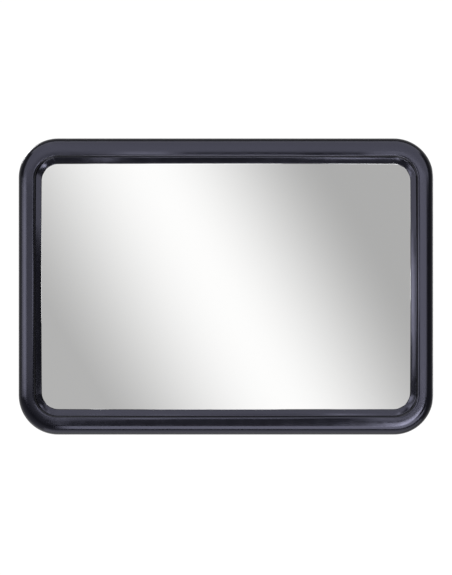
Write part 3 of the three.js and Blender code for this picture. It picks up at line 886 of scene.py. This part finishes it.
def flat_plate(name, outlines, thickness, *materials):
    """A plate in the local XY plane, from z = 0 up, with rounded edges. Outlines: rim, then holes."""
    curve = bpy.data.curves.new(name, "CURVE")
    curve.dimensions = "2D"
    curve.fill_mode = "BOTH"
    curve.extrude = thickness / 2 - PLATE_EDGE
    curve.bevel_depth = PLATE_EDGE
    curve.bevel_resolution = 2
    curve.offset = -PLATE_EDGE
    for outline in outlines:
        spline = curve.splines.new("POLY")
        spline.points.add(len(outline) - 1)
        for point, place in zip(spline.points, outline):
            point.co = (place.x, place.y, thickness / 2, 1)
        spline.use_cyclic_u = True
    drawn = new_object(name, curve)
    mesh = bpy.data.meshes.new_from_object(drawn.evaluated_get(bpy.context.evaluated_depsgraph_get()))
    points = [vertex.co.copy() for vertex in mesh.vertices]
    faces = [tuple(face.vertices) for face in mesh.polygons]
    bpy.data.objects.remove(drawn)
    return make_piece(name, points, faces, *materials)


def holed_plate(node, rear, thickness, radius, holes, material):
    """A rounded plate as wide and high as a node, with its back at a depth.

    Holes are entries (x, z, radius).
    """
    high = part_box(node)[1]
    outlines = [rounded_rectangle(high.x, high.z, radius)]
    outlines += [circle(*hole) for hole in holes]
    plate = flat_plate(node + "_fine", outlines, thickness, material)
    return put(plate, Vector((0, rear, 0)), ALONG_Y.inverted())


def bracket_holes():
    radius = BRACKET_SCREW["shank"] + SCREW_CLEARANCE
    return [(place.x, place.z, radius) for place in middles(BRACKET_SCREWS)]


def bracket_ear(reach, root):
    """An ear in the local XY plane: an eye round the origin, and a root at x = reach."""
    root_angle = math.atan2(root, reach)
    tangent = root_angle + math.acos(EAR_RADIUS / math.hypot(reach, root))
    steps = 36
    outline = [Vector((reach, -root)), Vector((reach, root))]
    for step in range(steps + 1):
        angle = mix(tangent, 2 * math.pi - tangent, step / steps)
        outline.append(EAR_RADIUS * Vector((math.cos(angle), math.sin(angle))))
    return flat_plate("ear", [outline, circle(0, 0, BORE_RADIUS)], EAR_THICKNESS)


def weld_bead(start, end):
    """A rippled bead of weld between two points."""
    sides, ripple = 12, 0.0011
    run = end - start
    along = run.normalized()
    first = along.orthogonal().normalized()
    second = along.cross(first)
    steps = round(run.length / (ripple / 4))
    rows = []
    for step in range(steps + 1):
        share = step / steps
        taper = min(1, 8 * share + 0.35, 8 * (1 - share) + 0.35)
        radius = WELD_RADIUS * taper * (1 + 0.07 * math.sin(2 * math.pi * share * run.length / ripple))
        middle = start + share * run
        ring = []
        for side in range(sides):
            angle = 2 * math.pi * side / sides
            ring.append(middle + radius * (math.cos(angle) * first + math.sin(angle) * second))
        rows.append(ring)
    return stack("weld", rows)


def build_bracket(node, plate, thickness, ear_matrices, clear, root, body):
    """Joins a base plate and its two ears, with weld beads along both sides of each ear's root.

    The plate's face is at a distance clear from the ears' pivot.
    """
    for matrix in ear_matrices:
        ear = bracket_ear(clear + thickness / 2, root)
        ear.data.transform(matrix)
        boolean(plate, [ear], "UNION")
    beads = []
    for matrix in ear_matrices:
        for side in (0, EAR_THICKNESS):
            ends = [matrix @ Vector((clear, end * (root - 0.002), side)) for end in (-1, 1)]
            beads.append(weld_bead(*ends))
    plate = merge([plate] + beads)
    shade(plate)
    return adopt(plate, body, "bracket_paint", node)


def build_wall_plate():
    thickness = WALL_PLATE_THICKNESS
    sides = (-1, 1)
    holes = [(x * WALL_HOLE_X, z * WALL_HOLE_Z, WALL_HOLE_RADIUS) for x in sides for z in sides]
    plate = holed_plate("wall_plate", 0, thickness, WALL_PLATE_RADIUS, holes, powder_coat())
    clear = -PAN_PIVOT.y - thickness
    ears = []
    for height in (EAR_INNER_FACE, -EAR_INNER_FACE - EAR_THICKNESS):
        place = Matrix.Translation(PAN_PIVOT + Vector((0, 0, height)))
        ears.append(place @ Matrix.Rotation(math.pi / 2, 4, "Z"))
    return build_bracket("wall_plate", plate, thickness, ears, clear, WALL_EAR_ROOT, "wall_side")


def build_clevis():
    thickness = CLEVIS_THICKNESS
    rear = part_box("mirror_clevis")[0].y + thickness
    holes = bracket_holes()
    plate = holed_plate("mirror_clevis", rear, thickness, CLEVIS_RADIUS, holes, powder_coat())
    clear = TILT_PIVOT.y - rear
    ears = []
    for across in (EAR_INNER_FACE, -EAR_INNER_FACE - EAR_THICKNESS):
        place = Matrix.Translation(TILT_PIVOT + Vector((across, 0, 0)))
        ears.append(place @ ALONG_X @ Matrix.Rotation(-math.pi / 2, 4, "Z"))
    return build_bracket("mirror_clevis", plate, thickness, ears, clear, CLEVIS_EAR_ROOT, "mirror_head")


def build_stiffener():
    low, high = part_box("stiffener_plate")
    thickness, holes = high.y - low.y, bracket_holes()
    plate = holed_plate("stiffener_plate", high.y, thickness, STIFFENER_RADIUS, holes, zinc_plate())
    return adopt(plate, "mirror_head", "zinc_steel", "stiffener_plate")


# ------------------------------ cast arm

def rounded_bar(wide, high, start, end, radius):
    """A bar along Y between two depths, with rounded long edges."""
    outline = sum(corner_arcs(wide, high, radius, steps=5), [])
    return stack("bar", [[raised(point, depth) for point in outline] for depth in (start, end)])


def build_arm():
    """A cast arm: two eyes at right angles on a pocketed beam, with the fillets of a casting."""
    skin = 0.0003  # what the smoothing may swell it by
    arm = cylinder("swivel_arm_fine", EYE_RADIUS - skin, -EYE_HALF, EYE_HALF, facets=96)
    put(arm, PAN_PIVOT)
    level = put(cylinder("level", EYE_RADIUS - skin, -EYE_HALF, EYE_HALF, facets=96), TILT_PIVOT, ALONG_X)
    boolean(arm, [level], "UNION")
    near, far = PAN_PIVOT.y - EYE_RADIUS / 2, TILT_PIVOT.y + EYE_RADIUS / 2
    bar = rounded_bar(BEAM_WIDE / 2 - skin, BEAM_HIGH / 2 - skin, far, near, BEAM_EDGE)
    boolean(arm, [bar], "UNION")
    pockets = []
    start, end = far + POCKET_INSET, near - POCKET_INSET
    for side in (-1, 1):
        pocket = rounded_bar(BEAM_WIDE / 2, POCKET_HIGH / 2, start, end, POCKET_EDGE)
        shift = side * (BEAM_WIDE - POCKET_DEPTH)
        pockets.append(put(pocket, Vector((shift, 0, 0))))
    boolean(arm, pockets, "DIFFERENCE")

    remesh = arm.modifiers.new("cast", "REMESH")
    remesh.mode = "VOXEL"
    remesh.voxel_size = 0.0007
    smooth = arm.modifiers.new("cast", "SMOOTH")
    smooth.factor = 0.5
    smooth.iterations = 6
    apply_modifiers(arm)

    bores = []
    reach = 2 * EYE_HALF
    for pivot, turn in ((PAN_PIVOT, ALONG_Z), (TILT_PIVOT, ALONG_X)):
        bores.append(put(cylinder("bore", BORE_RADIUS, -reach, reach, facets=64), pivot, turn))
    boolean(arm, bores, "DIFFERENCE")
    arm.data.materials.clear()
    arm.data.materials.append(cast_paint())
    return adopt(arm, "arm", "arm_paint", "swivel_arm")


# ------------------------------ camera, light and floor

def build_camera():
    """A level camera square to the mirror, far enough away for an almost flat view."""
    data = bpy.data.cameras.new("camera")
    data.sensor_width = SENSOR
    data.lens = SENSOR * CAMERA_DISTANCE / VIEW_HEIGHT
    data.clip_end = 100
    camera = new_object("camera", data)
    camera.location = (0, MIRROR_RIM_Y - CAMERA_DISTANCE, -CAMERA_DROP)
    camera.rotation_euler = (math.pi / 2, 0, 0)
    bpy.context.scene.camera = camera


def math_node(tree, operation, first, second, clamp=False):
    """The result of a Math node. Its inputs are numbers or other nodes' results."""
    node = tree.nodes.new("ShaderNodeMath")
    node.operation = operation
    node.use_clamp = clamp
    for socket, value in zip(node.inputs, (first, second)):
        if isinstance(value, (int, float)):
            socket.default_value = value
        else:
            tree.links.new(value, socket)
    return node.outputs[0]


def studio_strength(tree):
    """How bright the studio is by direction: a diagonal band ahead, fading into a plain wall."""
    calc = partial(math_node, tree)
    direction = tree.nodes.new("ShaderNodeTexCoord")
    parts = tree.nodes.new("ShaderNodeSeparateXYZ")
    tree.links.new(direction.outputs["Generated"], parts.inputs[0])
    x, y, z = parts.outputs

    # How far from the mirror's centre a ray in this direction left it
    forward = calc("MAXIMUM", calc("MULTIPLY", y, -1), 0.02)
    turn_x = 1 / CAMERA_DISTANCE + 4 * LENS_SAG / OPENING_WIDE**2
    turn_z = 1 / CAMERA_DISTANCE + 4 * LENS_SAG / OPENING_HIGH**2
    mirror_x = calc("DIVIDE", calc("DIVIDE", x, forward), turn_x)
    mirror_z = calc("DIVIDE", calc("DIVIDE", z, forward), turn_z)

    band = calc("ADD", mirror_x, calc("MULTIPLY", mirror_z, BAND_SLOPE))
    right = calc("ADD", band, BAND_SHIFT)
    left = calc("MINIMUM", calc("MULTIPLY", right, -LEFT_RATE), LEFT_LIMIT)
    offset = calc("MAXIMUM", right, left)
    behind = calc("MAXIMUM", y, 0)
    past_band = 10
    offset = calc("ADD", offset, calc("MULTIPLY", behind, past_band))
    fade = tree.nodes.new("ShaderNodeMapRange")
    fade.interpolation_type = "SMOOTHSTEP"
    fade.inputs["From Max"].default_value = BAND_FADE
    fade.inputs["To Min"].default_value = BAND_STRENGTH
    fade.inputs["To Max"].default_value = WALL_STRENGTH
    tree.links.new(offset, fade.inputs["Value"])

    # The rear of the studio and its low left corner are brighter than the plain wall
    rear = calc("MULTIPLY", calc("MULTIPLY", y, REAR_RISE, clamp=True), REAR_GLOW)
    low_left = calc("ADD", calc("MULTIPLY", z, CORNER_Z), calc("MULTIPLY", x, CORNER_X))
    corner = calc("MULTIPLY", calc("SUBTRACT", low_left, CORNER_START, clamp=True), CORNER_GLOW)
    return calc("ADD", calc("ADD", fade.outputs["Result"], rear), corner)


def build_world():
    """The studio that pieces reflect, and a white backdrop for the camera."""
    world = bpy.data.worlds.new("studio")
    bpy.context.scene.world = world
    world.use_nodes = True
    tree = world.node_tree
    tree.nodes.clear()
    studio = tree.nodes.new("ShaderNodeBackground")
    tree.links.new(studio_strength(tree), studio.inputs["Strength"])
    backdrop = tree.nodes.new("ShaderNodeBackground")
    backdrop.inputs["Strength"].default_value = BACKDROP_STRENGTH
    for background in (studio, backdrop):
        background.inputs["Color"].default_value = (1, 1, 1, 1)
    path = tree.nodes.new("ShaderNodeLightPath")
    choice = tree.nodes.new("ShaderNodeMixShader")
    tree.links.new(path.outputs["Is Camera Ray"], choice.inputs[0])
    tree.links.new(studio.outputs[0], choice.inputs[1])
    tree.links.new(backdrop.outputs[0], choice.inputs[2])
    output = tree.nodes.new("ShaderNodeOutputWorld")
    tree.links.new(choice.outputs[0], output.inputs["Surface"])


def light_only(lights, things):
    """Limits some lights to some objects."""
    lit = bpy.data.collections.new("lit")
    for thing in things:
        lit.objects.link(thing)
    for light in lights:
        light.light_linking.receiver_collection = lit


def softbox(name, corner, across, up, radiance, lights_surfaces=False):
    """A light panel spanned by two edges from a corner, facing the mirror's middle.

    A panel shows as a reflection only, unless it also lights surfaces.
    """
    across, up = Vector(across), Vector(up)
    middle = Vector(corner) + (across + up) / 2
    normal = across.cross(up).normalized()
    if normal.dot(Vector((0, FRAME_LOW.y, 0)) - middle) < 0:
        normal = -normal
    side = across.normalized()
    data = bpy.data.lights.new(name, "AREA")
    data.shape = "RECTANGLE"
    data.size, data.size_y = across.length, up.length
    data.energy = 4 * data.size * data.size_y * radiance
    light = new_object(name, data)
    turn = Matrix((side, (-normal).cross(side), -normal)).transposed()
    light.matrix_world = Matrix.Translation(middle) @ turn.to_4x4()
    light.visible_camera = False
    light.visible_diffuse = lights_surfaces
    return light


def front_panel(name, left, right, low, high, radiance):
    """A panel in the plane in front of the mirror."""
    corner = (left, FRAME_LOW.y - PANEL_DISTANCE, low)
    return softbox(name, corner, (right - left, 0, 0), (0, 0, high - low), radiance)


def edge_on_panel(name, rail, lean, near, far, start, length, radiance):
    """A panel in a plane that runs through one rail, which therefore doesn't see it.

    lean is the plane's direction away from that rail, near and far are distances along it, and
    the panel runs from a start along a length.
    """
    corner = Vector(rail) + near * lean + Vector(start)
    return softbox(name, corner, (far - near) * lean, length, radiance)


def leaning(degrees, side):
    """The direction that leans from straight ahead towards a side."""
    angle = math.radians(degrees)
    return math.cos(angle) * AHEAD + math.sin(angle) * side


def build_lights(mirror):
    """Soft boxes round the frame. The mirror itself sees only the studio."""
    front = FRAME_LOW.y - PANEL_DISTANCE
    low, high = -0.216, 0.215
    tall = (0, 0, high - low)
    top_rail = (0, FRAME_LOW.y, OPENING_HIGH)
    left_rail = (-OPENING_WIDE, FRAME_LOW.y, 0)
    bottom_rail = (0, FRAME_LOW.y, 0.010 - FRAME_HIGH.z)
    lowered, steep, rightwards = leaning(45, DOWN), leaning(70, DOWN), leaning(50, RIGHT)
    boxes = [
        front_panel("top_front", -STUDIO_HALF, STUDIO_HALF, 0.205, STUDIO_TOP, 4.1),
        softbox("overhead", (-STUDIO_HALF, front, STUDIO_TOP), (2 * STUDIO_HALF, 0, 0), (0, 0.55, 0), 3.8),
        front_panel("left_edge", -0.20, -0.10, -0.12, high, 8.0),
        front_panel("left_near", -0.50, -0.20, -0.19, high, 2.2),
        front_panel("left_mid", -0.62, -0.50, low, high, 7.5),
        front_panel("left_wide", -STUDIO_HALF, -0.62, low, high, 9.5),
        softbox("left_side", (-STUDIO_HALF, front, low), (0, 0.33, 0), tall, 6.0),
        softbox("left_rear", (-STUDIO_HALF, front + 0.33, low), (0, 0.22, 0), tall, 2.2),
        front_panel("inner", -0.22, 0.14, -0.05, 0.06, 12.0),
        edge_on_panel("inner_right", left_rail, AHEAD, 0.36, 0.56, (0, 0, -0.30), (0, 0, 0.40), 7.0),
        edge_on_panel("low", top_rail, steep, 0.51, 0.76, (-0.28, 0, 0), (0.80, 0, 0), 8.2),
        edge_on_panel("right_front", left_rail, rightwards, 0.72, 1.30, (0, 0, low), tall, 5.8),
        edge_on_panel("right_soft", left_rail, rightwards, 1.30, 1.60, (0, 0, low), tall, 3.0),
        edge_on_panel("right_wide", left_rail, rightwards, 1.60, 2.60, (0, 0, low), tall, 0.9),
        softbox("corner", (0.34, front - PANEL_DISTANCE, -0.64), (0.27, 0, 0), (0, 0, 0.33), 29.0),
        edge_on_panel("shoulder", bottom_rail, lowered, 0.20, 0.50, (-0.25, 0, 0), (0.55, 0, 0), 22.0),
        softbox("below", (-0.6, front + 0.26, -0.9), (1.7, 0, 0), (0, 0.48, 0), 2.0),
        softbox("rear_key", (-1.6, 1.0, 0.7), (0.6, 0.5, 0), (0, 0, 0.8), 7.0, lights_surfaces=True),
        softbox("rear_fill", (1.3, 0.8, -0.4), (-0.2, 0.6, 0), (0, 0, 0.8), 2.5, lights_surfaces=True),
    ]
    things = bpy.context.scene.objects
    light_only(boxes, [thing for thing in things if thing.type == "MESH" and thing != mirror])


def build_floor():
    """A pale round floor well below the mirror."""
    steps = 96
    rings = []
    for radius in (0.5, 2.0, 6.5):
        rings.append([Vector((place.x, place.y, FLOOR_Z)) for place in circle(0, 0, radius, steps)])
    points, faces = loop_loft(rings, closed=False)
    faces.append(tuple(range(steps)))
    floor = make_piece("floor", points, faces, pale_floor())
    floor.visible_glossy = False
    return floor


def build_floor_light(floor):
    """An even glow on the floor alone, so that it is nearly as pale as the backdrop."""
    sun = bpy.data.lights.new("floor_glow", "SUN")
    sun.energy = 1.35
    sun.angle = math.radians(90)
    light_only([new_object("floor_glow", sun)], [floor])


# ------------------------------ the scene

build_camera()
bpy.context.scene.view_settings.view_transform = "Standard"

lens = build_lens()
build_frame()
build_seal()
build_shell()
build_screws(FRAME_SCREW, FRAME_SCREWS)
build_screws(BRACKET_SCREW, BRACKET_SCREWS)
build_nuts()

build_wall_plate()
build_clevis()
build_stiffener()
build_arm()

pan_bodies = ("wall_side", "arm", "pan_knob_unit")
tilt_bodies = ("mirror_head", "arm", "tilt_knob_unit")
build_pivot("pan", PAN_PIVOT, 2, ALONG_Z, pan_bodies, ("lower", "upper"))
build_pivot("tilt", TILT_PIVOT, 0, ALONG_X, tilt_bodies, ("left", "right"))

build_floor_light(build_floor())
build_world()
build_lights(lens)
